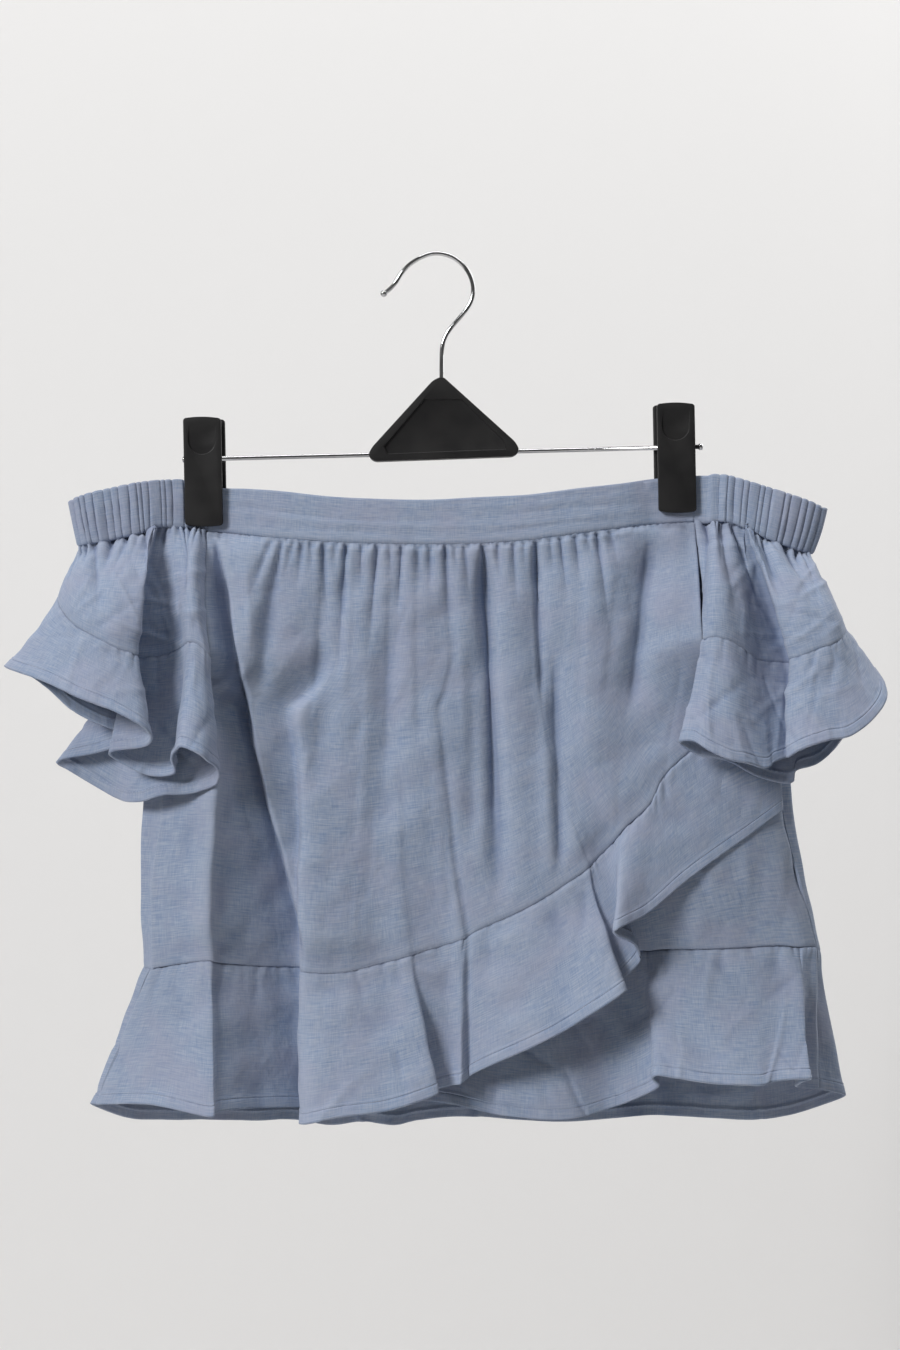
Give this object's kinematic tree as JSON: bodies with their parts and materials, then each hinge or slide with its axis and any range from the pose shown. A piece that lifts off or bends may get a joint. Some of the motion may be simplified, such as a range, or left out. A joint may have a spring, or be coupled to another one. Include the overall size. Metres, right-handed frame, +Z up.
{
  "type": "ruffled off-shoulder top on clip hanger",
  "caption": "Short off-shoulder blouse with elastic sleeve tops, flounced sleeves and a wrap ruffle along its hem, held by two clips on a hook hanger.",
  "frame": {"origin": "inner top of the hanger's hook, where a rail carries it", "axes": "+X to the viewer's right, +Y away from the viewer, +Z up; the garment's front faces -Y"},
  "size_m": [0.5188, 0.0837, 0.5278],
  "materials": {
    "chambray": "matte woven cotton",
    "black_plastic": "fine matte",
    "chrome_wire": "polished"
  },
  "bodies": {
    "root": {"front_band": "chambray", "back_band": "chambray", "elastic_left": "chambray", "elastic_right": "chambray", "front_body": "chambray", "lower_front": "chambray", "back_body": "chambray", "wrap_ruffle": "chambray", "under_ruffle": "chambray", "back_ruffle": "chambray", "sleeve_left": "chambray", "sleeve_right": "chambray", "sleeve_ruffle_left": "chambray", "sleeve_ruffle_right": "chambray", "triangle_block": "black_plastic", "clip_left_front": "black_plastic", "clip_left_back": "black_plastic", "clip_right_front": "black_plastic", "clip_right_back": "black_plastic", "hook": "chrome_wire", "rod": "chrome_wire", "clip_left_barrel": "chrome_wire", "clip_right_barrel": "chrome_wire"}
  },
  "joints": []
}
